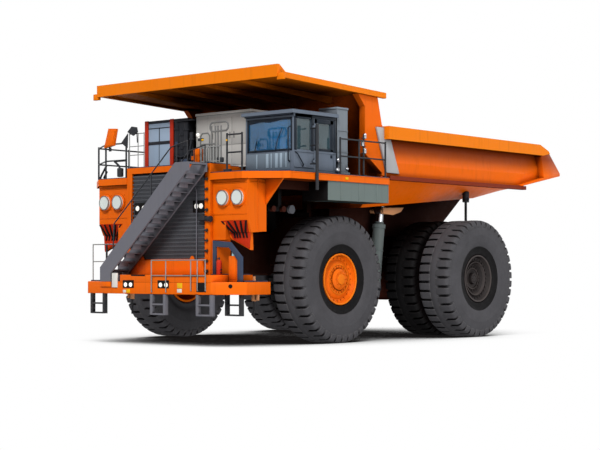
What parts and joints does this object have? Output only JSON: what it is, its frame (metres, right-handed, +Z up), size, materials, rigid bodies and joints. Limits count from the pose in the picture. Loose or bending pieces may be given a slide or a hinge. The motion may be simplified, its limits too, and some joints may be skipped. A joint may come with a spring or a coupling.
{
  "type": "mining dump truck",
  "caption": "Rigid two-axle mining dump truck: tilting dump body with canopy, steered front wheels, twin rear wheels, side cab, front stair, telescopic hoists.",
  "frame": {"origin": "on the ground under the middle of the whole machine's box", "axes": "+X forward along the machine, +Y to the driver's left, +Z up"},
  "size_m": [15.41, 8.588, 7.56],
  "materials": {
    "orange_paint": "worn gloss paint",
    "rim_paint": "worn gloss paint",
    "grey_paint": "satin paint",
    "beige_paint": "satin paint",
    "green_grey_paint": "satin paint",
    "light_grey_paint": "worn satin paint",
    "dark_paint": "satin paint",
    "cast_steel": "rough",
    "bright_rod": "polished",
    "tyre_rubber": "matt, dusty",
    "lamp_lens": "clear lens",
    "seat_fabric": "woven"
  },
  "bodies": {
    "chassis": {"frame": "orange_paint", "body_pivot_pins": "cast_steel", "suspension_struts": "cast_steel", "rear_axle": "cast_steel", "engine": "dark_paint", "tanks": "green_grey_paint", "side_decks": "grey_paint", "centre_deck": "grey_paint", "deck_supports": "orange_paint", "radiator_frame": "orange_paint", "radiator_core": "dark_paint", "radiator_grille": "dark_paint", "headlamp_housings": "orange_paint", "headlamps": "lamp_lens", "bumper": "orange_paint", "boarding_ladders": "dark_paint", "front_stair": "light_grey_paint", "cab_shell": "grey_paint", "cab_roof": "grey_paint", "cab_interior": "seat_fabric", "control_cabinet": "beige_paint", "grid_box": "dark_paint", "intake_tower": "grey_paint", "deck_handrails": "dark_paint", "bumper_guards": "dark_paint", "right_mirror": "orange_paint"},
    "dump_body": {"body_tub": "orange_paint", "body_top_rails": "orange_paint", "body_lower_rails": "orange_paint", "body_front_wall": "orange_paint", "body_corner_posts": "orange_paint", "canopy": "orange_paint", "body_beams": "orange_paint", "hoist_eye_brackets": "cast_steel"},
    "door": {"cab_door": "grey_paint"},
    "linkage": {"tie_rod": "cast_steel"},
    "barrel_left": {"hoist_barrel_left": "light_grey_paint"},
    "stage_left": {"hoist_stage_left": "bright_rod"},
    "rod_left": {"hoist_rod_left": "bright_rod"},
    "knuckle_left": {"spindle_left": "cast_steel"},
    "front_wheel_left": {"front_tyre_left": "tyre_rubber", "front_rim_left": "rim_paint"},
    "rear_wheels_left": {"rear_tyre_outer_left": "tyre_rubber", "rear_tyre_inner_left": "tyre_rubber", "rear_rim_left": "rim_paint"},
    "barrel_right": {"hoist_barrel_right": "light_grey_paint"},
    "stage_right": {"hoist_stage_right": "bright_rod"},
    "rod_right": {"hoist_rod_right": "bright_rod"},
    "knuckle_right": {"spindle_right": "cast_steel"},
    "front_wheel_right": {"front_tyre_right": "tyre_rubber", "front_rim_right": "rim_paint"},
    "rear_wheels_right": {"rear_tyre_outer_right": "tyre_rubber", "rear_tyre_inner_right": "tyre_rubber", "rear_rim_right": "rim_paint"}
  },
  "joints": [
    {"name": "dump_body_lift", "type": "hinge", "parent": "chassis", "child": "dump_body", "pos_m": [-4.005, 0, 2.9], "axis": [0, -1, 0], "range_deg": [0, 45]},
    {"name": "hoist_swing_left", "type": "hinge", "parent": "chassis", "child": "barrel_left", "pos_m": [-0.405, 1.6, 1.5], "axis": [0, -1, 0], "range_deg": [0, 17]},
    {"name": "hoist_stage_slide_left", "type": "slide", "parent": "barrel_left", "child": "stage_left", "axis": [-0.1159, 0, 0.9933], "range_m": [0, 1.2492]},
    {"name": "hoist_rod_slide_left", "type": "slide", "parent": "stage_left", "child": "rod_left", "axis": [-0.1159, 0, 0.9933], "range_m": [0, 1.2492]},
    {"name": "steer_left", "type": "hinge", "parent": "chassis", "child": "knuckle_left", "pos_m": [3.535, 2.05, 1.8], "axis": [0, 0, 1], "range_deg": [-38, 38]},
    {"name": "front_wheel_spin_left", "type": "hinge", "parent": "knuckle_left", "child": "front_wheel_left", "pos_m": [3.535, 3.074, 1.79286], "axis": [0, 1, 0], "continuous": true},
    {"name": "rear_wheels_spin_left", "type": "hinge", "parent": "chassis", "child": "rear_wheels_left", "pos_m": [-2.305, 3.739, 1.79286], "axis": [0, 1, 0], "continuous": true},
    {"name": "hoist_swing_right", "type": "hinge", "parent": "chassis", "child": "barrel_right", "pos_m": [-0.405, -1.6, 1.5], "axis": [0, -1, 0], "range_deg": [0, 17]},
    {"name": "hoist_stage_slide_right", "type": "slide", "parent": "barrel_right", "child": "stage_right", "axis": [-0.1159, 0, 0.9933], "range_m": [0, 1.2492]},
    {"name": "hoist_rod_slide_right", "type": "slide", "parent": "stage_right", "child": "rod_right", "axis": [-0.1159, 0, 0.9933], "range_m": [0, 1.2492]},
    {"name": "steer_right", "type": "hinge", "parent": "chassis", "child": "knuckle_right", "pos_m": [3.535, -2.05, 1.8], "axis": [0, 0, 1], "range_deg": [-38, 38]},
    {"name": "front_wheel_spin_right", "type": "hinge", "parent": "knuckle_right", "child": "front_wheel_right", "pos_m": [3.535, -3.074, 1.79286], "axis": [0, 1, 0], "continuous": true},
    {"name": "rear_wheels_spin_right", "type": "hinge", "parent": "chassis", "child": "rear_wheels_right", "pos_m": [-2.305, -3.739, 1.79286], "axis": [0, 1, 0], "continuous": true},
    {"name": "tie_rod_turn", "type": "hinge", "parent": "knuckle_left", "child": "linkage", "pos_m": [2.915, 2.05, 1.38], "axis": [0, 0, 1], "range_deg": [-38, 38]},
    {"name": "cab_door_open", "type": "hinge", "parent": "chassis", "child": "door", "pos_m": [4.821, 3.665, 5.5], "axis": [0, 0, -1], "range_deg": [0, 80]}
  ],
  "couplings": [
    {"joint": "hoist_swing_left", "follows": "dump_body_lift", "ratio": 0.3698},
    {"joint": "hoist_stage_slide_left", "follows": "dump_body_lift", "m_per_rad": 1.5899},
    {"joint": "hoist_rod_slide_left", "follows": "dump_body_lift", "m_per_rad": 1.5899},
    {"joint": "hoist_swing_right", "follows": "dump_body_lift", "ratio": 0.3698},
    {"joint": "hoist_stage_slide_right", "follows": "dump_body_lift", "m_per_rad": 1.5899},
    {"joint": "hoist_rod_slide_right", "follows": "dump_body_lift", "m_per_rad": 1.5899},
    {"joint": "steer_right", "follows": "steer_left", "ratio": 1},
    {"joint": "tie_rod_turn", "follows": "steer_left", "ratio": -1}
  ]
}
